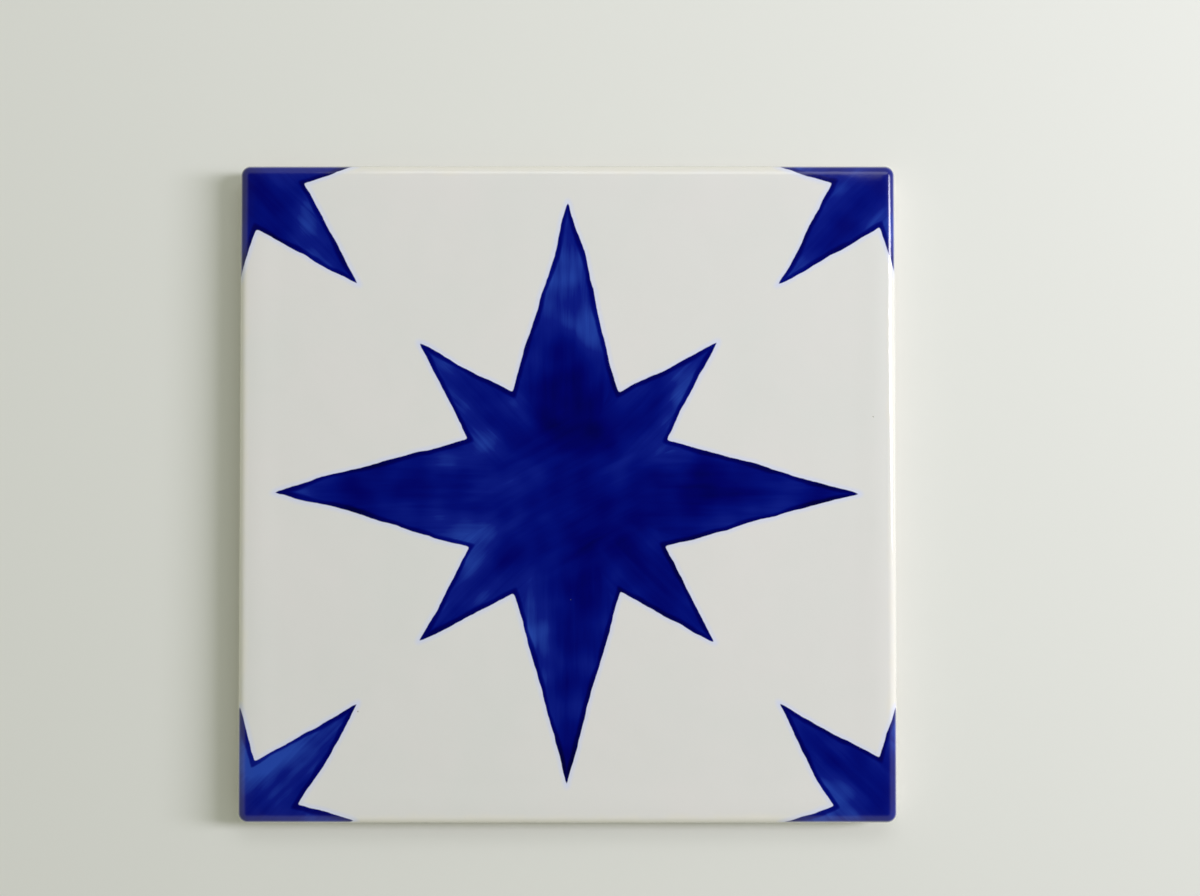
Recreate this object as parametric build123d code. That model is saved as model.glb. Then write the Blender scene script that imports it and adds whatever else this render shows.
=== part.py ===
"""Square hand-painted faience wall tile, one fired piece, lying on its bedding back.

The blank is pressed white clay. Its face and the upper part of its edges carry a thick glossy
glaze, which rolls over the arris. The edges stand upright in a narrow band, where a neighbour or
its joint meets them, and lean in below it, because the die has to let the blank go. The back is
pressed with a grid of shallow drafted pockets between ribs, which key the bedding mortar, and the
ribs and the rim round them lie in one plane.

Frame: the origin is the middle of the bedding plane, +Z points out of the glazed face, and X and Y
run along the edges. Lengths are millimetres and angles are degrees.
"""

from build123d import *
import math
import os

# Outline, seen square on to the glazed face
TILE_SIDE = 140.0  # across the upright bands of two opposite edges
FACE_CORNER_RADIUS = 0.2  # of each corner of the flat face, which the arris turns round

# Section through an edge
TILE_THICKNESS = 8.0  # from the bedding plane to the glazed face
ARRIS_RADIUS = 2.0  # the glaze's roll from the face over to the edge
BAND_HEIGHT = 2.4  # the upright band under that roll
RELEASE_DRAFT = 4.0  # lean of the edge below the band
BACK_CHAMFER = 0.5  # broken corner round the bedding plane

# Key pressed into the back
KEY_ROWS = 6  # pockets along each side. An even number leaves a rib crossing in the middle
KEY_RIM = 12.0  # bedding plane between its outline and the outermost pockets
KEY_RIB = 6.5  # bedding plane between two pockets
KEY_DEPTH = 0.8  # of each pocket
KEY_DRAFT = 30.0  # lean of a pocket's walls
KEY_CORNER_RADIUS = 1.6  # of a pocket's corners at the bedding plane

# Worked out from the sizes above
CORNER_RADIUS = FACE_CORNER_RADIUS + ARRIS_RADIUS  # of each corner in the outline
BAND_TOP = TILE_THICKNESS - ARRIS_RADIUS
BAND_FOOT = BAND_TOP - BAND_HEIGHT
LEAN_PER_MM = math.tan(math.radians(RELEASE_DRAFT))
LEAN_AT_CHAMFER = (BAND_FOOT - BACK_CHAMFER) * LEAN_PER_MM
BACK_SIDE = TILE_SIDE - 2 * (LEAN_AT_CHAMFER + BACK_CHAMFER)
CORNER_AXIS = TILE_SIDE / 2 - CORNER_RADIUS  # of each rounded corner, from the middle
POCKET_SIDE = (BACK_SIDE - 2 * KEY_RIM - (KEY_ROWS - 1) * KEY_RIB) / KEY_ROWS
POCKET_PITCH = POCKET_SIDE + KEY_RIB


def edge_section():
    """The outer end of the tile's section, in the XZ plane, from a corner's axis to the edge."""
    chamfer_top = CORNER_RADIUS - LEAN_AT_CHAMFER
    below_arris = Polyline(
        (0, TILE_THICKNESS),
        (0, 0),
        (chamfer_top - BACK_CHAMFER, 0),
        (chamfer_top, BACK_CHAMFER),
        (CORNER_RADIUS, BAND_FOOT),
        (CORNER_RADIUS, BAND_TOP),
    )
    arris = CenterArc((CORNER_RADIUS - ARRIS_RADIUS, BAND_TOP), ARRIS_RADIUS, 0, 90)
    face_line = Line((CORNER_RADIUS - ARRIS_RADIUS, TILE_THICKNESS), (0, TILE_THICKNESS))
    return Plane.XZ * make_face(below_arris + arris + face_line)


def pressed_blank():
    """The plate with its four straight edges and four rounded corners, before the key."""
    plate = extrude(Rectangle(2 * CORNER_AXIS, 2 * CORNER_AXIS), amount=TILE_THICKNESS)
    edge = Pos(X=CORNER_AXIS) * extrude(edge_section(), amount=CORNER_AXIS, both=True)
    corner = Pos(CORNER_AXIS, CORNER_AXIS) * revolve(edge_section(), Axis.Z, revolution_arc=90)
    quarter_turns = [Rot(Z=90 * turn) for turn in range(4)]
    return plate + [turn * piece for turn in quarter_turns for piece in (edge, corner)]


def key_pockets():
    """The grid of drafted pockets, as the solids that the die presses into the back."""
    mouth = RectangleRounded(POCKET_SIDE, POCKET_SIDE, KEY_CORNER_RADIUS)
    pocket = extrude(mouth, amount=KEY_DEPTH, taper=KEY_DRAFT)
    places = GridLocations(POCKET_PITCH, POCKET_PITCH, KEY_ROWS, KEY_ROWS)
    return [place * pocket for place in places]


tile = pressed_blank() - key_pockets()

os.makedirs("parts", exist_ok=True)
export_step(tile, "parts/tile.step")
print("tile volume", round(tile.volume), "mm3, pocket side", round(POCKET_SIDE, 2), "mm")
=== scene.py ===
"""Looks of a square hand-painted faience wall tile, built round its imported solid.

The tile lies flat on a pale floor with its glazed face up, and the camera looks down on it. One
mesh stands for the whole fired piece: a softly uneven glazed face, a glaze bead inside the arris,
a glaze that ends in a wavy line down the edge, the bare clay below it and the keyed back.
The tile's finishes are drawn in millimetres. Meshes, lamps, floor and camera are in metres.
"""

import enum
import itertools
import logging
import math
from collections.abc import Callable
from dataclasses import astuple, dataclass, field, fields
from typing import ClassVar

import bpy
import numpy as np
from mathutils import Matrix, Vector


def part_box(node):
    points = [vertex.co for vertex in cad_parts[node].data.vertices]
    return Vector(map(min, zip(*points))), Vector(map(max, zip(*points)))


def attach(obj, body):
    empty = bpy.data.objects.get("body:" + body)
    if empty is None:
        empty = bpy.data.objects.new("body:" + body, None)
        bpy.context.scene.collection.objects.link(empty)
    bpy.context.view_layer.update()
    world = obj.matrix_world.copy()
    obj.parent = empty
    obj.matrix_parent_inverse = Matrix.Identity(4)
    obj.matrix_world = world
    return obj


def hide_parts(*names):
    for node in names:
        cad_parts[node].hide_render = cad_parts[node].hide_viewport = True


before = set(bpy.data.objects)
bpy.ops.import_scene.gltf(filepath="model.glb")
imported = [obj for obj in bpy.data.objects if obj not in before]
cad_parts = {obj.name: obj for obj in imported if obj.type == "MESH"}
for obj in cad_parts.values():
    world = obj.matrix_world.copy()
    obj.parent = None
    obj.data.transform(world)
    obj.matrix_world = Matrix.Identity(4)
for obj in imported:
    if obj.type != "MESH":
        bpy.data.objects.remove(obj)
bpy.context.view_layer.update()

MM = 0.001
TOLERANCE = 0.01 * MM  # how far a vertex may lie from where it is looked for
SEAM_GAP = 0.002 * MM  # vertices nearer to each other than this are merged
WEIGHT_LEVELS = 100  # the steps of a vertex group's weights
DOWNWARD = -0.95  # the Z of a normal below which its face looks down
UP = Vector((0, 0, 1))
LOG = logging.getLogger("faience_tile")

Colour = tuple[float, float, float]
Span = tuple[float, float]
Socket = bpy.types.NodeSocket
Sockets = bpy.types.bpy_prop_collection
Piece = bpy.types.Object
Feed = Socket | float | tuple[float, ...]
Feeds = dict[str | int, Feed]


class Layer(enum.Enum):
    """The two materials that the fired piece shows, in the order of its mesh's material slots."""

    GLAZE = 0
    CLAY = 1


class Blend(enum.Enum):
    """How a mask rises between its two limits."""

    STRAIGHT = "LINEAR"
    SOFT = "SMOOTHSTEP"


class NodeSheet:
    """A node tree being drawn, with short ways to add a node and join it to others."""

    def __init__(self, tree: bpy.types.NodeTree) -> None:
        """Takes the node tree to draw in, whose old nodes are kept."""
        self.tree = tree

    def add(self, kind: str, feeds: Feeds | None = None, **settings: object) -> bpy.types.Node:
        """Adds one node.

        Args:
            kind: the node's type without the ShaderNode in front.
            feeds: what each input takes, by its name or number: a socket to link or a plain value.
            settings: the node's own properties.

        Returns:
            The new node.
        """
        node = self.tree.nodes.new("ShaderNode" + kind)
        for name, value in settings.items():
            setattr(node, name, value)
        for name, value in (feeds or {}).items():
            self.feed(node.inputs[name], value)
        return node

    def feed(self, socket: Socket, value: Feed) -> None:
        """Links a socket to an input, or sets the input's own value.

        Args:
            socket: the input.
            value: an output socket, a number, or a colour or vector.
        """
        if isinstance(value, bpy.types.NodeSocket):
            self.tree.links.new(value, socket)
        elif isinstance(value, tuple) and socket.type == "RGBA":
            socket.default_value = (*value, 1.0)
        else:
            socket.default_value = value

    def math(self, operation: str, *values: Feed) -> Socket:
        """Joins numbers with one operation, taken left to right where there are more than two.

        Args:
            operation: the Math node's operation.
            values: the numbers or sockets.

        Returns:
            The result's socket.
        """
        result = values[0]
        for following in values[1:] or (0.0,):
            result = self.add("Math", {0: result, 1: following}, operation=operation).outputs[0]
        return result

    def rounded(self, operation: str, first: Feed, second: Feed, rounding: float) -> Socket:
        """Returns the smooth minimum or maximum of two values, rounded over a length."""
        return self.add("Math", {0: first, 1: second, 2: rounding}, operation=operation).outputs[0]

    def scaled(self, value: Feed, factor: float, offset: float = 0.0) -> Socket:
        """Returns value times factor plus offset."""
        return self.add("Math", {0: value, 1: factor, 2: offset}, operation="MULTIPLY_ADD").outputs[0]

    def swung(self, value: Feed, size: float) -> Socket:
        """Returns a value from 0 to 1 as a swing from minus the size to plus the size."""
        return self.scaled(value, 2 * size, -size)

    def diagonal(self, first: Feed, second: Feed) -> Socket:
        """Returns the length of the diagonal between two lengths at right angles."""
        squares = (self.math("POWER", side, 2.0) for side in (first, second))
        return self.math("SQRT", self.math("ADD", *squares))

    def vector(self, operation: str, first: Feed, second: Feed = (0.0, 0.0, 0.0)) -> Socket:
        """Returns the result of one operation on two vectors, or on the first alone."""
        return self.add("VectorMath", {0: first, 1: second}, operation=operation).outputs["Vector"]

    def mask(self, value: Feed, none_at: float, full_at: float, blend: Blend = Blend.SOFT) -> Socket:
        """A mask that is 0 at one value and 1 at another.

        Args:
            value: what the mask is read from.
            none_at: the value where the mask is 0.
            full_at: the value where it is 1, on either side of none_at.
            blend: how it rises in between.

        Returns:
            The mask's socket, held between 0 and 1.
        """
        low, high = sorted((none_at, full_at))
        starts, ends = (0.0, 1.0) if none_at < full_at else (1.0, 0.0)
        feeds = {"Value": value, "From Min": low, "From Max": high, "To Min": starts, "To Max": ends}
        return self.add("MapRange", feeds, interpolation_type=blend.value, clamp=True).outputs["Result"]

    def mix(self, share: Feed, first: Feed, second: Feed, blend_type: str = "MIX") -> Socket:
        """Mixes two colours.

        Args:
            share: how much of the second colour shows.
            first: the colour at share 0.
            second: the colour at share 1.
            blend_type: the Mix node's way of mixing.

        Returns:
            The mixed colour's socket.
        """
        settings = {"data_type": "RGBA", "blend_type": blend_type, "clamp_factor": True}
        return self.add("Mix", {0: share, 6: first, 7: second}, **settings).outputs[2]

    def seen_or_mirrored(self) -> Socket:
        """The mask of what the camera sees straight, in a gloss or through glass.

        Returns:
            The mask's socket.
        """
        path = self.add("LightPath").outputs
        rays = ("Is Camera Ray", "Is Glossy Ray", "Is Transmission Ray")
        return self.math("MAXIMUM", *(path[ray] for ray in rays))


@dataclass(frozen=True)
class Pattern:
    """A pattern of the finishes: a node group that is built once, and one set of its numbers.

    Each number is an input of the group. Every group reads a place, and lengths are millimetres.
    """

    puts_out: ClassVar[str] = "Value"

    @classmethod
    def numbers(cls) -> list[str]:
        """Returns the names of the group's inputs beside Place."""
        return [number.name.replace("_", " ").title() for number in fields(cls)]

    @classmethod
    def build_group(cls) -> bpy.types.NodeTree:
        """Builds the pattern's node group, under the pattern's name.

        Returns:
            The group.
        """
        tree = bpy.data.node_groups.new(cls.__name__.lower(), "ShaderNodeTree")
        numbers = [(name, "INPUT", "Float") for name in cls.numbers()]
        sockets = [("Place", "INPUT", "Vector"), *numbers, (cls.puts_out, "OUTPUT", "Float")]
        for name, direction, kind in sockets:
            tree.interface.new_socket(name=name, in_out=direction, socket_type="NodeSocket" + kind)
        sheet = NodeSheet(tree)
        given = tree.nodes.new("NodeGroupInput").outputs
        result = tree.nodes.new("NodeGroupOutput").inputs[cls.puts_out]
        sheet.feed(result, cls.draw(sheet, given))
        return tree

    @classmethod
    def draw(cls, sheet: NodeSheet, given: Sockets) -> Socket:
        """Draws the pattern from the group's inputs and returns its value."""
        raise NotImplementedError

    def feeds(self, place: Feed) -> Feeds:
        """Returns what the group's inputs take."""
        return {"Place": place, **dict(zip(self.numbers(), astuple(self)))}


@dataclass(frozen=True)
class Clouding(Pattern):
    """Soft patches of one size, as a value from 0 to 1 with a mean of a half."""

    patch_size: float
    detail: float
    roughness: float
    noise_range: ClassVar[Span] = (0.24, 0.76)

    @classmethod
    def draw(cls, sheet: NodeSheet, given: Sockets) -> Socket:
        """Draws a noise and stretches its usual range to the whole.

        Args:
            sheet: the group's nodes.
            given: the group's inputs.

        Returns:
            The value's socket.
        """
        settings = {"Detail": given["Detail"], "Roughness": given["Roughness"]}
        per_mm = sheet.math("DIVIDE", 1.0, given["Patch Size"])
        noise = sheet.add("TexNoise", {"Vector": given["Place"], "Scale": per_mm, **settings})
        return sheet.mask(noise.outputs["Fac"], *cls.noise_range, Blend.STRAIGHT)


@dataclass(frozen=True)
class Pinholes(Pattern):
    """Small round holes, one to a cell, in only a share of the cells."""

    spacing: float
    radius: float
    share: float
    puts_out: ClassVar[str] = "Hole"
    smallest: ClassVar[float] = 0.4
    size_spread: ClassVar[float] = 0.8
    wall_share: ClassVar[float] = 0.6

    @classmethod
    def draw(cls, sheet: NodeSheet, given: Sockets) -> Socket:
        """Draws a hole at the middle of each chosen cell, each of its own size.

        Args:
            sheet: the group's nodes.
            given: the group's inputs.

        Returns:
            The socket of the holes' mask.
        """
        per_mm = sheet.math("DIVIDE", 1.0, given["Spacing"])
        cells = sheet.add("TexVoronoi", {"Vector": given["Place"], "Scale": per_mm}, feature="F1")
        from_middle = sheet.math("MULTIPLY", cells.outputs["Distance"], given["Spacing"])
        drawn = sheet.add("SeparateColor", {0: cells.outputs["Color"]}).outputs
        size = sheet.scaled(drawn[1], cls.size_spread, cls.smallest)
        radius = sheet.math("MULTIPLY", given["Radius"], size)
        depth = sheet.math("SUBTRACT", 1.0, sheet.math("DIVIDE", from_middle, radius))
        chosen = sheet.math("LESS_THAN", drawn[0], given["Share"])
        return sheet.math("MULTIPLY", sheet.mask(depth, 0.0, cls.wall_share), chosen)


@dataclass(frozen=True)
class Star(Pattern):
    """An eight-pointed star, as the distance to its outline, below 0 inside it.

    Four rays lie along X and Y and four between them. A ray tapers from its root, which is half
    its width at the star's middle, to its tip at its reach.
    """

    square_reach: float
    square_root: float
    diagonal_reach: float
    diagonal_root: float
    puts_out: ClassVar[str] = "Distance"
    notch_rounding: ClassVar[float] = 0.9
    tip_rounding: ClassVar[float] = 1.6

    @classmethod
    def draw(cls, sheet: NodeSheet, given: Sockets) -> Socket:
        """Folds the place into an eighth of the star and joins the two rays that reach into it.

        Args:
            sheet: the group's nodes.
            given: the group's inputs.

        Returns:
            The distance's socket.
        """
        folded = sheet.add("SeparateXYZ", {0: sheet.vector("ABSOLUTE", given["Place"])}).outputs
        along = sheet.math("MAXIMUM", folded["X"], folded["Y"])
        across = sheet.math("MINIMUM", folded["X"], folded["Y"])
        slant_along = sheet.scaled(sheet.math("ADD", along, across), math.sqrt(0.5))
        slant_across = sheet.scaled(sheet.math("SUBTRACT", along, across), math.sqrt(0.5))
        rays = [
            cls.draw_ray(sheet, *lane, given[f"{ray} Reach"], given[f"{ray} Root"])
            for ray, lane in (("Square", (along, across)), ("Diagonal", (slant_along, slant_across)))
        ]
        return sheet.rounded("SMOOTH_MIN", *rays, cls.notch_rounding)

    @classmethod
    def draw_ray(cls, sheet: NodeSheet, along: Feed, across: Feed, reach: Feed, root: Feed) -> Socket:
        """The distance to the outline of one ray, below 0 inside it.

        Args:
            sheet: the group's nodes.
            along: the place along the ray's middle line.
            across: how far the place lies off that line.
            reach: the ray's tip.
            root: half the ray's width at the star's middle.

        Returns:
            The distance's socket.
        """
        past_tip = sheet.math("SUBTRACT", along, reach)
        falling = sheet.math("MULTIPLY", past_tip, root)
        rising = sheet.math("MULTIPLY", across, reach)
        past_flank = sheet.math("DIVIDE", sheet.math("ADD", falling, rising), sheet.diagonal(reach, root))
        return sheet.rounded("SMOOTH_MAX", past_flank, past_tip, cls.tip_rounding)


Groups = dict[type[Pattern], bpy.types.NodeTree]


class MaterialSheet(NodeSheet):
    """The nodes of a new material, round its Principled shader."""

    def __init__(self, name: str) -> None:
        """Starts the material.

        Args:
            name: the material's name.
        """
        self.material = bpy.data.materials.new(name)
        self.material.use_nodes = True
        super().__init__(self.material.node_tree)
        self.shader = self.tree.nodes["Principled BSDF"]

    def dress(self, feeds: Feeds) -> bpy.types.Material:
        """Feeds the shader and finishes the material.

        Args:
            feeds: what the shader's inputs take, by their names.

        Returns:
            The material.
        """
        for name, value in feeds.items():
            self.feed(self.shader.inputs[name], value)
        return self.material


class FinishSheet(MaterialSheet):
    """The nodes of one of the tile's finishes.

    Its place is the place on the tile in millimetres, from the middle of the bedding plane.
    """

    def __init__(self, name: str, groups: Groups) -> None:
        """Starts the finish.

        Args:
            name: the material's name.
            groups: each pattern's node group.
        """
        super().__init__(name)
        self.groups = groups
        in_metres = self.add("TexCoord").outputs["Object"]
        self.place = self.add("Mapping", {"Vector": in_metres, "Scale": (1 / MM,) * 3}).outputs[0]
        self.parts = self.add("SeparateXYZ", {0: self.place}).outputs

    def pattern(self, pattern: Pattern, place: Feed | None = None) -> Socket:
        """Returns a pattern's value at a place, or without one at the place on the tile."""
        feeds = pattern.feeds(self.place if place is None else place)
        return self.add("Group", feeds, node_tree=self.groups[type(pattern)]).outputs[0]

    def relief(self, *heights: Feed) -> Socket:
        """Returns the normal of a fine relief, whose heights in millimetres add up."""
        height = self.math("ADD", *heights)
        return self.add("Bump", {"Strength": 1.0, "Distance": MM, "Height": height}).outputs["Normal"]


@dataclass(frozen=True)
class CobaltPainting:
    """Cobalt-blue painting by hand: a star in the middle and a quarter of a star in each corner.

    Lengths are millimetres, and distances to the outline are below 0 inside the paint. A span
    says where a mask is 0 and where it is 1. A sway has the size of its patches and how far it
    moves. The tones run from a thin wash to where the colour pooled, each from its own load.
    """

    middle_star: Star = Star(62.0, 17.5, 45.0, 14.0)
    corner_star: Star = Star(25.0, 8.4, 36.0, 10.6)
    outline_blur: float = 0.10
    sways: tuple[tuple[float, float], ...] = ((24.0, 1.3), (6.5, 0.32))
    tremor: Clouding = Clouding(2.3, 2.0, 0.45)
    tremor_size: float = 0.09
    tones: tuple[tuple[float, Colour], ...] = (
        (0.00, (0.0190, 0.0620, 0.400)),
        (0.24, (0.0036, 0.0115, 0.228)),
        (0.42, (0.0006, 0.0045, 0.185)),
        (0.64, (0.0001, 0.0009, 0.134)),
        (1.00, (0.0001, 0.0001, 0.045)),
    )
    bleed: Colour = (0.62, 0.68, 0.98)
    bleed_width: float = 1.3
    bleed_share: float = 0.55
    streak_length: float = 24.0
    streak_width: float = 1.8
    streak_range: Span = (0.30, 0.70)
    lane_shift: float = 3.7
    middle_slant: float = math.radians(28)
    middle: Span = (22.0, 11.0)
    patches: Clouding = Clouding(17.0, 2.0, 0.55)
    pressure: Clouding = Clouding(8.0, 1.0, 0.5)
    line_width: float = 0.45
    line_swell: float = 0.6
    line_blur: Span = (-0.45, 0.25)
    core: Span = (-2.0, -9.0)
    least_load: float = 0.205
    streak_load: float = 0.15
    patch_load: float = 0.36
    line_load: float = 0.40
    core_load: float = 0.24

    def swayed(self, sheet: FinishSheet) -> Socket:
        """The place, moved a little as an unsteady hand moves its strokes.

        Args:
            sheet: the glaze's nodes.

        Returns:
            The moved place's socket.
        """
        place = sheet.place
        for patch, amount in self.sways:
            noise = sheet.add("TexNoise", {"Vector": place, "Scale": 1 / patch, "Detail": 1.0})
            centred = sheet.vector("SUBTRACT", noise.outputs["Color"], (0.5, 0.5, 0.5))
            step = sheet.vector("MULTIPLY", centred, (2 * amount,) * 3)
            place = sheet.vector("ADD", place, step)
        return place

    def outline(self, sheet: FinishSheet, half_side: float) -> Socket:
        """The distance to the painting's outline, below 0 inside the paint.

        Args:
            sheet: the glaze's nodes.
            half_side: from the tile's middle to its edge.

        Returns:
            The distance's socket.
        """
        swayed = self.swayed(sheet)
        to_corner = sheet.vector("SUBTRACT", (half_side, half_side, 0.0), sheet.vector("ABSOLUTE", swayed))
        middle = sheet.pattern(self.middle_star, swayed)
        corner = sheet.pattern(self.corner_star, to_corner)
        shaken = sheet.swung(sheet.pattern(self.tremor), self.tremor_size)
        return sheet.math("ADD", sheet.math("MINIMUM", middle, corner), shaken)

    def brushed(self, sheet: FinishSheet) -> Socket:
        """Streaks of the brush, drawn along each ray of the middle star and slantwise over its middle.

        Args:
            sheet: the glaze's nodes.

        Returns:
            The streaks' socket, from 0 to 1.
        """
        eighth = math.pi / 4
        angle = sheet.math("ARCTAN2", sheet.parts["Y"], sheet.parts["X"])
        ray = sheet.math("ROUND", sheet.math("DIVIDE", angle, eighth))
        off_ray = sheet.math("SUBTRACT", angle, sheet.math("MULTIPLY", ray, eighth))
        radius = sheet.diagonal(sheet.parts["X"], sheet.parts["Y"])
        along = sheet.math("MULTIPLY", radius, sheet.math("COSINE", off_ray))
        across = sheet.math("MULTIPLY", radius, sheet.math("SINE", off_ray))
        lane_parts = (
            sheet.scaled(along, 1 / self.streak_length),
            sheet.scaled(across, 1 / self.streak_width),
            sheet.scaled(ray, self.lane_shift),
        )
        lane = sheet.add("CombineXYZ", dict(enumerate(lane_parts)))
        stretch = {
            "Rotation": (0.0, 0.0, self.middle_slant),
            "Scale": (self.streak_length, self.streak_width, self.streak_length),
        }
        slant = sheet.add("Mapping", {"Vector": sheet.place, **stretch}, vector_type="TEXTURE")
        bristles = {"Scale": 1.0, "Detail": 3.0, "Roughness": 0.6, "Distortion": 0.25}
        streaks = [
            sheet.add("TexNoise", {"Vector": lay.outputs[0], **bristles}).outputs["Fac"]
            for lay in (lane, slant)
        ]
        in_middle = sheet.mask(radius, *self.middle)
        mixed = sheet.add("Mix", {0: in_middle, 2: streaks[0], 3: streaks[1]}, data_type="FLOAT")
        return sheet.mask(mixed.outputs[0], *self.streak_range, Blend.STRAIGHT)

    def load(self, sheet: FinishSheet, outline: Feed) -> Socket:
        """How thickly the colour lies, from 0 for a thin wash to 1 where it pooled.

        Args:
            sheet: the glaze's nodes.
            outline: the distance to the painting's outline.

        Returns:
            The load's socket.
        """
        line_width = sheet.scaled(sheet.pattern(self.pressure), self.line_swell, self.line_width)
        line = sheet.mask(sheet.math("ADD", outline, line_width), *self.line_blur)
        return sheet.math(
            "ADD",
            sheet.scaled(self.brushed(sheet), self.streak_load, self.least_load),
            sheet.swung(sheet.pattern(self.patches), self.patch_load),
            sheet.scaled(line, self.line_load),
            sheet.scaled(sheet.mask(outline, *self.core), self.core_load),
        )

    def colour(self, sheet: FinishSheet, load: Feed) -> Socket:
        """The fired colour, from the tones' loads and colours.

        Args:
            sheet: the glaze's nodes.
            load: how thickly the colour lies.

        Returns:
            The colour's socket.
        """
        ramp = sheet.add("ValToRGB", {"Fac": load})
        stops = ramp.color_ramp.elements
        for position, _ in self.tones[1:-1]:
            stops.new(position)
        for stop, (_, tone) in zip(stops, self.tones):
            stop.color = (*tone, 1.0)
        return ramp.outputs["Color"]


@dataclass(frozen=True)
class GlazeFinish:
    """Off-white tin glaze, glossy and a little uneven, with the cobalt painting fired into it.

    Lengths are millimetres. The paint ends between two depths below the face, and the glaze
    thins between two distances from the edge. A haze is what a mark adds to the roughness.
    """

    painting: CobaltPainting = CobaltPainting()
    paint_end: Span = (1.5, 0.5)
    cool_white: Colour = (0.735, 0.745, 0.712)
    warm_white: Colour = (0.765, 0.752, 0.728)
    white_patches: Clouding = Clouding(26.0, 3.0, 0.6)
    thin_edge: Colour = (0.785, 0.762, 0.680)
    thin_edge_share: float = 0.75
    thinning: Span = (2.6, 0.5)
    ragged: Clouding = Clouding(6.0, 3.0, 0.6)
    ragged_size: float = 0.8
    pinholes: Pinholes = Pinholes(9.0, 0.22, 0.3)
    pinhole: Colour = (0.48, 0.43, 0.36)
    pinhole_share: float = 0.8
    pinhole_haze: float = 0.3
    pinhole_depth: float = 0.10
    smears: Clouding = Clouding(11.0, 4.0, 0.6)
    smear_haze: float = 0.05
    paint_haze: float = 0.05
    gloss: float = 0.055
    glaze_ior: float = 1.52
    ripple: Clouding = Clouding(7.0, 1.0, 0.4)
    ripple_height: float = 0.030
    peel: Clouding = Clouding(1.5, 2.0, 0.5)
    peel_height: float = 0.006
    paint_height: float = 0.010
    thinnest_paint: float = 0.5

    def material(self, groups: Groups, half_side: float, face_height: float) -> bpy.types.Material:
        """Builds the glaze.

        Args:
            groups: each pattern's node group.
            half_side: from the tile's middle to its edge.
            face_height: from the bedding plane to the face.

        Returns:
            The material.
        """
        sheet = FinishSheet("painted_glaze", groups)
        painting = self.painting
        outline = painting.outline(sheet, half_side)
        within_face = sheet.mask(sheet.parts["Z"], *(face_height - below for below in self.paint_end))
        in_outline = sheet.mask(outline, painting.outline_blur, -painting.outline_blur)
        painted = sheet.math("MULTIPLY", in_outline, within_face)
        bleeding = sheet.math("MULTIPLY", sheet.mask(outline, painting.bleed_width, 0.0), within_face)
        load = painting.load(sheet, outline)
        holes = sheet.pattern(self.pinholes)
        white = self.white(sheet, half_side)
        white = sheet.mix(sheet.scaled(bleeding, painting.bleed_share), white, painting.bleed)
        colour = sheet.mix(painted, white, painting.colour(sheet, load))
        pitted = sheet.mix(sheet.scaled(holes, self.pinhole_share), colour, self.pinhole, "MULTIPLY")
        roughness = sheet.math(
            "ADD",
            sheet.scaled(sheet.pattern(self.smears), self.smear_haze, self.gloss),
            sheet.scaled(painted, self.paint_haze),
            sheet.scaled(holes, self.pinhole_haze),
        )
        paint_share = sheet.scaled(load, 1 - self.thinnest_paint, self.thinnest_paint)
        paint_body = sheet.math("MULTIPLY", painted, paint_share)
        normal = sheet.relief(
            sheet.scaled(sheet.pattern(self.ripple), self.ripple_height),
            sheet.scaled(sheet.pattern(self.peel), self.peel_height),
            sheet.scaled(paint_body, self.paint_height),
            sheet.scaled(holes, -self.pinhole_depth),
        )
        looks = {"Base Color": pitted, "Roughness": roughness, "IOR": self.glaze_ior, "Normal": normal}
        return sheet.dress(looks)

    def white(self, sheet: FinishSheet, half_side: float) -> Socket:
        """The bare glaze's colour, which warms where the glaze thins over the arris.

        Args:
            sheet: the glaze's nodes.
            half_side: from the tile's middle to its edge.

        Returns:
            The colour's socket.
        """
        white = sheet.mix(sheet.pattern(self.white_patches), self.cool_white, self.warm_white)
        sideways, endways = (sheet.math("ABSOLUTE", sheet.parts[way]) for way in "XY")
        from_edge = sheet.math("SUBTRACT", half_side, sheet.math("MAXIMUM", sideways, endways))
        ragged = sheet.swung(sheet.pattern(self.ragged), self.ragged_size)
        thinning = sheet.mask(sheet.math("ADD", from_edge, ragged), *self.thinning)
        return sheet.mix(sheet.scaled(thinning, self.thin_edge_share), white, self.thin_edge)


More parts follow.
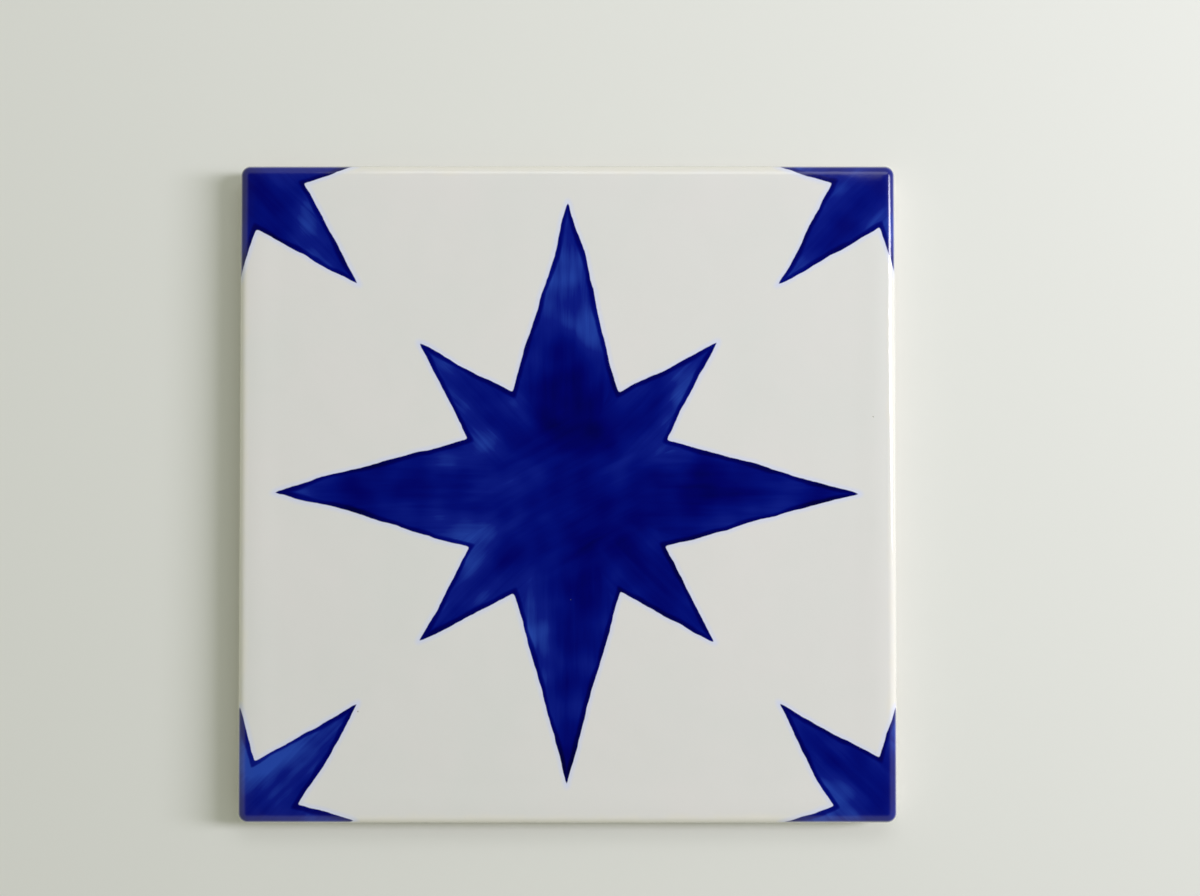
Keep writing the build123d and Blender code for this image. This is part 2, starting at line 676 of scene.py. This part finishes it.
@dataclass(frozen=True)
class ClayFinish:
    """The bare fired body, a matt cream-white clay with fine pores darkened by a painted shade, and a
    dusting of glaze.

    Lengths are millimetres.
    """

    body: Colour = (0.66, 0.58, 0.46)
    pale: Colour = (0.72, 0.66, 0.56)
    patches: Clouding = Clouding(18.0, 5.0, 0.65)
    patch_range: Span = (0.2, 0.8)
    grog: Colour = (0.50, 0.40, 0.28)
    grain: Clouding = Clouding(0.55, 4.0, 0.7)
    grain_share: float = 0.16
    grain_haze: float = 0.14
    grain_height: float = 0.05
    specks: Pinholes = Pinholes(3.4, 0.34, 0.3)
    speck_share: float = 0.55
    # painted shade in the pores: the colour each pore is darkened towards
    pore: Colour = (0.36, 0.30, 0.22)
    pores: Pinholes = Pinholes(1.9, 0.20, 0.45)
    pore_share: float = 0.8
    pore_depth: float = 0.14
    dust: Colour = (0.74, 0.73, 0.69)
    dust_reach: float = 2.6
    dust_range: Span = (0.35, 0.75)
    dust_share: float = 0.7
    roughness: float = 0.78
    pressed: Clouding = Clouding(3.2, 3.0, 0.6)
    pressed_height: float = 0.06

    def material(self, groups: Groups, glaze_line: float) -> bpy.types.Material:
        """Builds the clay.

        Args:
            groups: each pattern's node group.
            glaze_line: the height on the edge where the glaze ends.

        Returns:
            The material.
        """
        sheet = FinishSheet("fired_clay", groups)
        grain = sheet.pattern(self.grain)
        pores = sheet.pattern(self.pores)
        near_glaze = sheet.mask(sheet.parts["Z"], glaze_line - self.dust_reach, glaze_line)
        dusting = sheet.math("MULTIPLY", near_glaze, sheet.mask(grain, *self.dust_range))
        colour = sheet.mix(sheet.mask(sheet.pattern(self.patches), *self.patch_range), self.body, self.pale)
        for cover, share, tint in (
            (grain, self.grain_share, self.grog),
            (sheet.pattern(self.specks), self.speck_share, self.grog),
            # painted shade: the pores are darkened as if shade fell in them
            (pores, self.pore_share, self.pore),
            (dusting, self.dust_share, self.dust),
        ):
            colour = sheet.mix(sheet.scaled(cover, share), colour, tint)
        normal = sheet.relief(
            sheet.scaled(grain, self.grain_height),
            sheet.scaled(sheet.pattern(self.pressed), self.pressed_height),
            sheet.scaled(pores, -self.pore_depth),
        )
        roughness = sheet.scaled(grain, self.grain_haze, self.roughness)
        return sheet.dress({"Base Color": colour, "Roughness": roughness, "Normal": normal})


@dataclass(frozen=True)
class FloorFinish:
    """A plain pale matt floor, which passes into a pale backdrop well away from the tile.

    Lengths are metres.
    """

    colour: Colour = (0.735, 0.745, 0.700)
    roughness: float = 0.9
    backdrop: Colour = (0.650, 0.660, 0.620)
    backdrop_from: float = 0.20
    backdrop_to: float = 0.60

    def material(self) -> bpy.types.Material:
        """Builds the floor, whose backdrop shows only to the camera and in a gloss.

        Returns:
            The material.
        """
        sheet = MaterialSheet("pale_floor")
        place = sheet.add("TexCoord").outputs["Object"]
        away = sheet.add("VectorMath", {0: place}, operation="LENGTH").outputs["Value"]
        far = sheet.mask(away, self.backdrop_from, self.backdrop_to)
        share = sheet.math("MULTIPLY", far, sheet.seen_or_mirrored())
        backdrop = sheet.add("Emission", {"Color": self.backdrop, "Strength": 1.0}).outputs[0]
        both = sheet.add("MixShader", {0: share, 1: sheet.shader.outputs["BSDF"], 2: backdrop})
        sheet.feed(sheet.tree.nodes["Material Output"].inputs["Surface"], both.outputs[0])
        return sheet.dress({"Base Color": self.colour, "Roughness": self.roughness})


def edit_only(piece: Piece, chosen: Callable[[np.ndarray], np.ndarray] | None = None) -> None:
    """Makes the piece the only one selected and opens it in edit mode with some vertices selected.

    Args:
        piece: the piece.
        chosen: takes the vertices' places, a row each, and says which to select. Without it, none.
    """
    if bpy.context.object and bpy.context.object.mode == "EDIT":
        bpy.ops.object.mode_set(mode="OBJECT")
    bpy.ops.object.select_all(action="DESELECT")
    piece.select_set(True)
    bpy.context.view_layer.objects.active = piece
    bpy.ops.object.mode_set(mode="EDIT")
    bpy.ops.mesh.select_mode(type="VERT")
    bpy.ops.mesh.select_all(action="DESELECT")
    if chosen is None:
        return
    bpy.ops.object.mode_set(mode="OBJECT")
    piece.data.vertices.foreach_set("select", chosen(rows_of(piece.data.vertices, "co")))
    bpy.ops.object.mode_set(mode="EDIT")


def rows_of(parts: bpy.types.bpy_prop_collection, name: str) -> np.ndarray:
    """Reads a vector that each of a mesh's parts has.

    Args:
        parts: the mesh's vertices or faces.
        name: the vector's name, such as co for a vertex's place.

    Returns:
        A row for each part.
    """
    flat = np.empty(3 * len(parts), np.float32)
    parts.foreach_get(name, flat)
    return flat.reshape(-1, 3)


def near(values: np.ndarray, value: float) -> np.ndarray:
    """Returns which of the values in metres lie at a value, within the tolerance."""
    return np.abs(values - value) < TOLERANCE


def rise(values: np.ndarray, none_at: float, full_at: float) -> np.ndarray:
    """Returns a straight rise from 0 at one value to 1 at another, held between the two."""
    return np.clip((values - none_at) / (full_at - none_at), 0, 1)


def extrude(step: Vector) -> None:
    """Extrudes what is selected by a step in metres."""
    bpy.ops.mesh.extrude_region_move(TRANSFORM_OT_translate={"value": tuple(step)})


def spin_quarter(steps: int, centre: Vector, axis: Vector) -> None:
    """Spins what is selected a quarter turn backwards about an axis, in equal steps."""
    bpy.ops.mesh.spin(steps=steps, angle=-math.pi / 2, center=tuple(centre), axis=tuple(axis))


def lift(piece: Piece, group: str, height: float, texture: bpy.types.Texture | None = None) -> None:
    """Lifts a weighted part of the surface with a Displace modifier, and applies it.

    Args:
        piece: the piece.
        group: the vertex group that weights the lift.
        height: how far it goes, in metres, before its weight.
        texture: what varies it about its middle. Without one it is the same all over.
    """
    modifier = piece.modifiers.new("lift", "DISPLACE")
    modifier.vertex_group = group
    modifier.strength = height
    modifier.direction = "Z"
    modifier.mid_level = 0.5 if texture else 0.0
    modifier.texture = texture
    modifier.texture_coords = "LOCAL"
    bpy.context.view_layer.objects.active = piece
    bpy.ops.object.modifier_apply(modifier=modifier.name)


def cloud_texture(name: str, patch: float, depth: int) -> bpy.types.Texture:
    """Makes a cloud texture.

    Args:
        name: its name.
        patch: the size of its patches, in metres.
        depth: how many times finer detail is added.

    Returns:
        The texture.
    """
    texture = bpy.data.textures.new(name, "CLOUDS")
    texture.noise_scale = patch
    texture.noise_depth = depth
    return texture


@dataclass
class FaienceTile:
    """The fired piece, from its glazed face to its keyed back. Sizes are metres.

    The outline and the thickness come from the frame. The rest of the section repeats the solid's.
    The lip at the glaze's end goes in and down by shares of the glaze's thickness.
    """

    side: float
    thickness: float
    face_corner_radius: float = 0.2 * MM
    arris_radius: float = 2.0 * MM
    arc_steps: int = 8
    band_height: float = 2.4 * MM
    release_draft: float = math.radians(4.0)
    back_chamfer: float = 0.5 * MM
    key_rows: int = 6
    key_rim: float = 12.0 * MM
    key_rib: float = 6.5 * MM
    key_depth: float = 0.8 * MM
    key_draft: float = math.radians(30.0)
    key_corner_radius: float = 1.6 * MM
    key_corner_steps: int = 5
    glaze_line: float = 3.3 * MM
    glaze_thickness: float = 0.16 * MM
    glazed_rows: int = 10
    bare_rows: int = 8
    lip_in: float = 0.35
    lip_down: float = 0.6
    bead_height: float = 0.06 * MM
    bead_inset: float = 4.8 * MM
    bead_run: float = 4.5 * MM
    edge_sink: float = 0.10 * MM
    swell_height: float = 0.10 * MM
    swell_patch: float = 17 * MM
    runs_height: float = 2.6 * MM
    runs_patch: float = 7 * MM
    runs_foot: float = 0.9 * MM
    face_cells: int = 180
    face_map_share: float = 0.785
    map_margin: float = 0.004
    shading_angle: float = math.radians(32)
    piece: Piece = field(init=False)

    @property
    def corner_radius(self) -> float:
        """The radius of each corner in the outline."""
        return self.face_corner_radius + self.arris_radius

    @property
    def corner_axis(self) -> float:
        """The distance of each rounded corner's axis from the middle, along X and along Y."""
        return self.side / 2 - self.corner_radius

    @property
    def band_top(self) -> float:
        """The height where the arris ends and the upright band begins."""
        return self.thickness - self.arris_radius

    @property
    def band_foot(self) -> float:
        """The height where the band ends and the edge begins to lean in."""
        return self.band_top - self.band_height

    @property
    def glaze_foot(self) -> float:
        """The height where the clay begins, below the lip of the glaze."""
        return self.glaze_line - self.glaze_thickness

    def lean(self, height: float) -> float:
        """Returns how far the edge leans in from the upright band at a height."""
        return max(0.0, self.band_foot - height) * math.tan(self.release_draft)

    def build(self, glaze: bpy.types.Material, clay: bpy.types.Material) -> Piece:
        """Models the tile and dresses it.

        Args:
            glaze: the painted glaze.
            clay: the bare clay.

        Returns:
            The tile's object.
        """
        self.lay_face()
        for turn in range(4):
            self.draw_edge(turn)
        for turn in range(4):
            self.turn_corner(turn)
        self.merge_seams()
        self.key_back()
        self.dress(glaze, clay)
        self.lay_bake_map()
        self.flow_glaze()
        bpy.ops.object.shade_smooth_by_angle(angle=self.shading_angle)
        return self.piece

    def lay_face(self) -> None:
        """Lays the flat of the glazed face, as far as the corners' axes, as a fine grid."""
        bpy.ops.object.select_all(action="DESELECT")
        bpy.ops.mesh.primitive_grid_add(
            x_subdivisions=self.face_cells,
            y_subdivisions=self.face_cells,
            size=2 * self.corner_axis,
            location=(0, 0, self.thickness),
        )
        self.piece = bpy.context.object
        self.piece.name = "glazed_tile"
        self.piece.data.name = "glazed_tile"
        bpy.ops.object.transform_apply(location=True, rotation=True, scale=True)

    def outward(self, turn: int) -> Vector:
        """Returns the direction out of an edge, a quarter turn from one to the next."""
        return Vector(((1, 0, 0), (0, 1, 0), (-1, 0, 0), (0, -1, 0))[turn % 4])

    def draw_edge(self, turn: int) -> None:
        """Draws one edge's section down from the face to the bedding plane and in under it.

        Args:
            turn: which edge, in quarter turns from the one at +X.
        """
        out = self.outward(turn)

        def at_rim(places: np.ndarray) -> np.ndarray:
            """Says which vertices lie on the face's side towards this edge."""
            on_face = near(places[:, 2], self.thickness)
            within = np.abs(places[:, :2]).max(axis=1) < self.corner_axis + TOLERANCE
            return on_face & within & near(places @ np.array(out), self.corner_axis)

        edit_only(self.piece, at_rim)
        extrude(out * self.face_corner_radius)
        arris_axis = out * (self.side / 2 - self.arris_radius) + UP * self.band_top
        spin_quarter(self.arc_steps, arris_axis, UP.cross(out))
        for (inset, height), (next_inset, next_height) in itertools.pairwise(self.section_below_arris()):
            extrude(out * (inset - next_inset) + UP * (next_height - height))

    def section_below_arris(self) -> list[tuple[float, float]]:
        """The edge's section from the arris down to the bedding plane and in under it.

        Returns:
            Points as the distance inside the outline and the height.
        """
        glazed_heights = np.linspace(self.band_top, self.glaze_line, self.glazed_rows)
        glazed = [(0.0, height) for height in glazed_heights]
        lip_height = self.glaze_line - self.lip_down * self.glaze_thickness
        lip = (self.lip_in * self.glaze_thickness, lip_height)
        bare_heights = np.linspace(self.glaze_foot, self.back_chamfer, self.bare_rows)
        bare = [(self.glaze_thickness + self.lean(height), height) for height in bare_heights]
        foot, _ = bare[-1]
        cuts = (self.back_chamfer / 2, self.back_chamfer)
        chamfer = [(foot + cut, self.back_chamfer - cut) for cut in cuts]
        return [*glazed, lip, *bare, *chamfer, (self.corner_radius, 0.0)]

    def turn_corner(self, turn: int) -> None:
        """Turns the section from the end of one edge round to the start of the next.

        Args:
            turn: which edge it starts from.
        """
        out = self.outward(turn)
        onward = self.outward(turn + 1)

        def at_end(places: np.ndarray) -> np.ndarray:
            """Says which vertices lie on the section at the edge's end."""
            on_plane = near(places @ np.array(onward), self.corner_axis)
            return on_plane & (places @ np.array(out) > self.corner_axis - TOLERANCE)

        edit_only(self.piece, at_end)
        spin_quarter(self.arc_steps, (out + onward) * self.corner_axis, UP)

    def merge_seams(self) -> None:
        """Joins the edges and corners where they meet."""
        edit_only(self.piece)
        bpy.ops.mesh.select_all(action="SELECT")
        bpy.ops.mesh.remove_doubles(threshold=SEAM_GAP)
        bpy.ops.object.mode_set(mode="OBJECT")

    def key_cell(self, pitch: float) -> Piece:
        """Models one pocket of the key with half a rib round it.

        Args:
            pitch: from one pocket's middle to the next.

        Returns:
            The cell, in the corner of the key where the rows start.
        """
        bpy.ops.object.select_all(action="DESELECT")
        start = -pitch * (self.key_rows - 1) / 2
        bpy.ops.mesh.primitive_plane_add(size=pitch, location=(start, start, 0))
        cell = bpy.context.object
        bpy.ops.object.transform_apply(location=True, rotation=True, scale=True)
        bpy.ops.object.mode_set(mode="EDIT")
        bpy.ops.mesh.select_mode(type="FACE")
        bpy.ops.mesh.select_all(action="SELECT")
        bpy.ops.mesh.flip_normals()
        bpy.ops.mesh.inset(thickness=self.key_rib / 2, use_even_offset=True)
        bpy.ops.mesh.select_mode(type="VERT")
        bpy.ops.mesh.bevel(
            offset=self.key_corner_radius,
            segments=self.key_corner_steps,
            affect="VERTICES",
            offset_type="OFFSET",
        )
        bpy.ops.mesh.select_mode(type="FACE")
        bpy.ops.mesh.select_all(action="DESELECT")
        bpy.ops.object.mode_set(mode="OBJECT")
        pocket_mouth = max(cell.data.polygons, key=lambda face: face.area)
        pocket_mouth.select = True
        bpy.ops.object.mode_set(mode="EDIT")
        wall_run = self.key_depth * math.tan(self.key_draft)
        bpy.ops.mesh.inset(thickness=wall_run, depth=-self.key_depth, use_even_offset=True)
        bpy.ops.object.mode_set(mode="OBJECT")
        return cell

    def key_back(self) -> None:
        """Presses the key into the back and closes the bedding plane round it."""
        back_side = self.side - 2 * (self.lean(self.back_chamfer) + self.back_chamfer)
        pocket = (back_side - 2 * self.key_rim - (self.key_rows - 1) * self.key_rib) / self.key_rows
        pitch = pocket + self.key_rib
        cell = self.key_cell(pitch)
        for axis in range(2):
            rows = cell.modifiers.new("rows", "ARRAY")
            rows.count = self.key_rows
            rows.use_relative_offset = False
            rows.use_constant_offset = True
            rows.constant_offset_displace = [pitch if axis == way else 0.0 for way in range(3)]
            rows.use_merge_vertices = True
            rows.merge_threshold = SEAM_GAP
            bpy.ops.object.modifier_apply(modifier=rows.name)
        bpy.ops.object.select_all(action="DESELECT")
        cell.select_set(True)
        self.piece.select_set(True)
        bpy.context.view_layer.objects.active = self.piece
        bpy.ops.object.join()
        edit_only(self.piece)
        bpy.ops.mesh.select_mode(type="EDGE")
        bpy.ops.mesh.select_non_manifold()
        bpy.ops.mesh.fill(use_beauty=False)
        bpy.ops.mesh.select_all(action="SELECT")
        bpy.ops.mesh.normals_make_consistent(inside=False)
        bpy.ops.object.mode_set(mode="OBJECT")

    def dress(self, glaze: bpy.types.Material, clay: bpy.types.Material) -> None:
        """Gives the face and the glazed part of the edges their glaze, and the rest its clay.

        Args:
            glaze: the painted glaze.
            clay: the bare clay.
        """
        for material in (glaze, clay):
            self.piece.data.materials.append(material)
        bare = rows_of(self.piece.data.polygons, "center")[:, 2] < self.glaze_foot
        slots = np.where(bare, Layer.CLAY.value, Layer.GLAZE.value)
        self.piece.data.polygons.foreach_set("material_index", slots.astype(np.int32))

    def weigh(self, name: str, weights: np.ndarray) -> None:
        """Gives the piece a vertex group.

        Args:
            name: the group's name.
            weights: a weight from 0 to 1 for each vertex.
        """
        group = self.piece.vertex_groups.new(name=name)
        steps = np.round(weights * WEIGHT_LEVELS).astype(int)
        for step in np.unique(steps[steps > 0]):
            chosen = np.flatnonzero(steps == step).tolist()
            group.add(chosen, float(step) / WEIGHT_LEVELS, "REPLACE")

    def flow_glaze(self) -> None:
        """Lets the glaze settle: a bead inside the arris, a soft swell on the face, and a wavy end."""
        places = rows_of(self.piece.data.vertices, "co")
        heights = places[:, 2]
        from_edge = self.side / 2 - np.abs(places[:, :2]).max(axis=1)
        past_bead = rise(from_edge, self.bead_inset, self.bead_inset + self.bead_run)
        before_bead = rise(from_edge, self.bead_inset, self.arris_radius)
        up_arris = rise(heights, self.band_top, self.thickness)
        above_line = rise(heights, self.band_top, self.glaze_line)
        below_line = rise(heights, self.runs_foot, self.glaze_foot)
        self.weigh("settled", near(heights, self.thickness) * past_bead**2 * (3 - 2 * past_bead))
        self.weigh("rolled", before_bead**2 * up_arris**2)
        self.weigh("glaze_end", np.minimum(above_line, below_line))
        lift(self.piece, "settled", -self.bead_height)
        lift(self.piece, "rolled", -self.edge_sink)
        lift(self.piece, "settled", self.swell_height, cloud_texture("swell", self.swell_patch, 1))
        lift(self.piece, "glaze_end", self.runs_height, cloud_texture("runs", self.runs_patch, 2))

    def lay_bake_map(self) -> None:
        """Lays the surface out flat for texture baking, with most of the map for the glazed face.

        The edges unfold outwards round the face, down to the chamfer's foot. The back lies by itself
        in the map's far corner.
        """
        mesh = self.piece.data
        places = rows_of(mesh.vertices, "co").astype(float)
        unfolded, half_unfolded = self.unfold(places)
        middles, normals = (rows_of(mesh.polygons, name) for name in ("center", "normal"))
        near_back = middles[:, 2] < self.key_depth + 10 * TOLERANCE
        facing_down = normals[:, 2] < DOWNWARD
        within_axes = np.abs(middles[:, :2]).max(axis=1) < self.corner_axis
        face_sizes = [len(face.vertices) for face in mesh.polygons]
        on_back = np.repeat(near_back & (facing_down | within_axes), face_sizes)
        corners = np.array([loop.vertex_index for loop in mesh.loops])
        face_share = self.face_map_share
        back_share = 1 - face_share - 3 * self.map_margin
        back_start = 2 * self.map_margin + face_share
        on_map = self.map_margin + face_share * (unfolded / half_unfolded + 1)[corners] / 2
        back_map = back_start + back_share * (places[:, :2] / (self.side / 2) + 1)[corners] / 2
        on_map[on_back] = back_map[on_back]
        layer = mesh.uv_layers.new(name="OFBake")
        layer.uv.foreach_set("vector", on_map.astype(np.float32).ravel())

    def unfold(self, places: np.ndarray) -> tuple[np.ndarray, float]:
        """Unfolds the edges flat round the face, by the length along their section.

        Args:
            places: the vertices' places, a row each.

        Returns:
            Each vertex's flat place, and from the middle to the side of all that is unfolded.
        """
        inner = np.clip(places[:, :2], -self.corner_axis, self.corner_axis)
        offset = places[:, :2] - inner
        run = np.linalg.norm(offset, axis=1)
        section = self.section_from_axis()
        steps = np.linalg.norm(np.diff(section, axis=0), axis=1)
        lengths = np.concatenate([[0.0], np.cumsum(steps)])
        gaps = np.hypot(run[:, None] - section[None, :, 0], places[:, 2:3] - section[None, :, 1])
        outwards = offset / np.maximum(run, SEAM_GAP)[:, None]
        unfolded = inner + outwards * lengths[gaps.argmin(axis=1)][:, None]
        on_grid = run < SEAM_GAP
        unfolded[on_grid] = places[on_grid, :2]
        return unfolded, self.corner_axis + lengths[-1]

    def section_from_axis(self) -> np.ndarray:
        """The edge's whole section from a corner's axis to the chamfer's foot.

        Returns:
            A row for each point, with its distance from the axis and its height.
        """
        angles = np.linspace(0, math.pi / 2, self.arc_steps + 1)
        across = self.face_corner_radius + self.arris_radius * np.sin(angles)
        arris = zip(across, self.band_top + self.arris_radius * np.cos(angles))
        below = [(self.corner_radius - inset, height) for inset, height in self.section_below_arris()[1:-1]]
        return np.array([(0.0, self.thickness), *arris, *below])


@dataclass(frozen=True)
class SoftPanel:
    """A soft lamp, as a lit rectangle that stands in a direction from the tile. Lengths are metres."""

    name: str
    azimuth: float
    elevation: float
    distance: float
    width: float
    height: float
    power: float
    colour: Colour
    aim: tuple[float, float, float]

    def hang(self) -> None:
        """Hangs the lamp, turned to face its aim."""
        place = Vector(
            (
                math.cos(self.elevation) * math.cos(self.azimuth),
                math.cos(self.elevation) * math.sin(self.azimuth),
                math.sin(self.elevation),
            )
        )
        place *= self.distance
        light = bpy.data.lights.new(self.name, "AREA")
        light.shape = "RECTANGLE"
        light.size = self.width
        light.size_y = self.height
        light.energy = self.power
        light.color = self.colour
        lamp = bpy.data.objects.new(self.name, light)
        lamp.location = place
        lamp.rotation_euler = (place - Vector(self.aim)).to_track_quat("Z", "Y").to_euler()
        bpy.context.scene.collection.objects.link(lamp)
        LOG.info("%s: %.1f W, %.2f m away", self.name, self.power, self.distance)


WINDOW = SoftPanel(
    name="window_panel",
    azimuth=math.radians(9),
    elevation=math.radians(38),
    distance=1.10,
    width=0.26,
    height=0.62,
    power=11.8,
    colour=(0.905, 0.89, 1.0),
    aim=(0.0, 0.64, 0.0),
)
BOUNCE = SoftPanel(
    name="bounce_panel",
    azimuth=math.radians(75),
    elevation=math.radians(55),
    distance=0.70,
    width=0.50,
    height=0.22,
    power=0.70,
    colour=(0.96, 0.96, 1.0),
    aim=(0.0, 0.0, 0.0),
)


@dataclass
class Studio:
    """A pale floor, a soft lamp from the right, a weak one above, a fill all round and the camera.

    Lengths are metres. The places in the picture are pixels of one 1200 wide and 896 high. The
    room's light stays pale up to one height of its direction and is dark from another.
    """

    picture_width: float = 1200.0
    picture_height: float = 896.0
    tile_left: float = 238.0
    tile_right: float = 897.0
    tile_top: float = 155.0
    tile_bottom: float = 831.0
    focal_length: float = 50.0
    sensor_width: float = 36.0
    camera_tilt: float = math.radians(1.3)
    nearest_seen: float = 0.01
    floor_side: float = 6.0
    room_pale: Colour = (0.488, 0.500, 0.402)
    room_overhead: Colour = (0.012, 0.012, 0.014)
    pale_up_to: float = 0.79
    dark_from: float = 0.958
    panels: tuple[SoftPanel, ...] = (WINDOW, BOUNCE)
    floor_finish: FloorFinish = FloorFinish()

    def build(self, tile_side: float, face_height: float) -> None:
        """Builds the floor, the lamps, the world and the camera.

        Args:
            tile_side: the tile's side.
            face_height: the height of its glazed face.
        """
        self.lay_floor()
        for panel in self.panels:
            panel.hang()
        self.light_room()
        self.set_camera(tile_side, face_height)

    def lay_floor(self) -> None:
        """Lays the floor under the tile."""
        bpy.ops.object.select_all(action="DESELECT")
        bpy.ops.mesh.primitive_plane_add(size=self.floor_side, location=(0, 0, 0))
        floor = bpy.context.object
        floor.name = "floor"
        floor.data.materials.append(self.floor_finish.material())
        LOG.info("floor: %.1f m square", self.floor_side)

    def light_room(self) -> None:
        """Lights the room all round, pale near the horizon and darker overhead."""
        world = bpy.data.worlds.new("pale_room")
        bpy.context.scene.world = world
        world.use_nodes = True
        sheet = NodeSheet(world.node_tree)
        direction = sheet.add("TexCoord").outputs["Generated"]
        height = sheet.add("SeparateXYZ", {0: direction}).outputs["Z"]
        pale = sheet.mix(sheet.seen_or_mirrored(), self.room_pale, self.floor_finish.backdrop)
        overhead = sheet.mask(height, self.pale_up_to, self.dark_from)
        colour = sheet.mix(overhead, pale, self.room_overhead)
        background = world.node_tree.nodes["Background"].inputs
        sheet.feed(background["Color"], colour)
        sheet.feed(background["Strength"], 1.0)

    def set_camera(self, tile_side: float, face_height: float) -> None:
        """Sets the camera above the tile, nearly square to it.

        Args:
            tile_side: the tile's side.
            face_height: the height of its glazed face.
        """
        metres_per_pixel = tile_side / (self.tile_right - self.tile_left)
        distance = metres_per_pixel * self.picture_width * self.focal_length / self.sensor_width
        aim = Vector(
            (
                (self.picture_width - self.tile_left - self.tile_right) / 2 * metres_per_pixel,
                (self.tile_top + self.tile_bottom - self.picture_height) / 2 * metres_per_pixel,
                face_height,
            )
        )
        lens = bpy.data.cameras.new("camera")
        lens.lens = self.focal_length
        lens.sensor_width = self.sensor_width
        lens.clip_start = self.nearest_seen
        camera = bpy.data.objects.new("camera", lens)
        back = Vector((0, -math.sin(self.camera_tilt), math.cos(self.camera_tilt)))
        camera.location = aim + back * distance
        camera.rotation_euler = (self.camera_tilt, 0, 0)
        bpy.context.scene.collection.objects.link(camera)
        bpy.context.scene.camera = camera
        LOG.info("camera: %.3f m above the face", distance)


def main() -> None:
    """Builds the tile and its studio."""
    logging.basicConfig(level=logging.INFO, format="%(name)s: %(message)s")
    bpy.context.scene.view_settings.view_transform = "Standard"
    low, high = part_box("tile")
    tile = FaienceTile(side=high.x - low.x, thickness=high.z - low.z)
    groups = {pattern: pattern.build_group() for pattern in (Clouding, Pinholes, Star)}
    glaze = GlazeFinish().material(groups, tile.side / 2 / MM, tile.thickness / MM)
    clay = ClayFinish().material(groups, tile.glaze_line / MM)
    piece = tile.build(glaze, clay)
    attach(piece, "root")
    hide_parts("tile")
    LOG.info("%s: %d vertices, %d faces", piece.name, len(piece.data.vertices), len(piece.data.polygons))
    Studio().build(tile.side, tile.thickness)


if __name__ == "__main__":
    main()
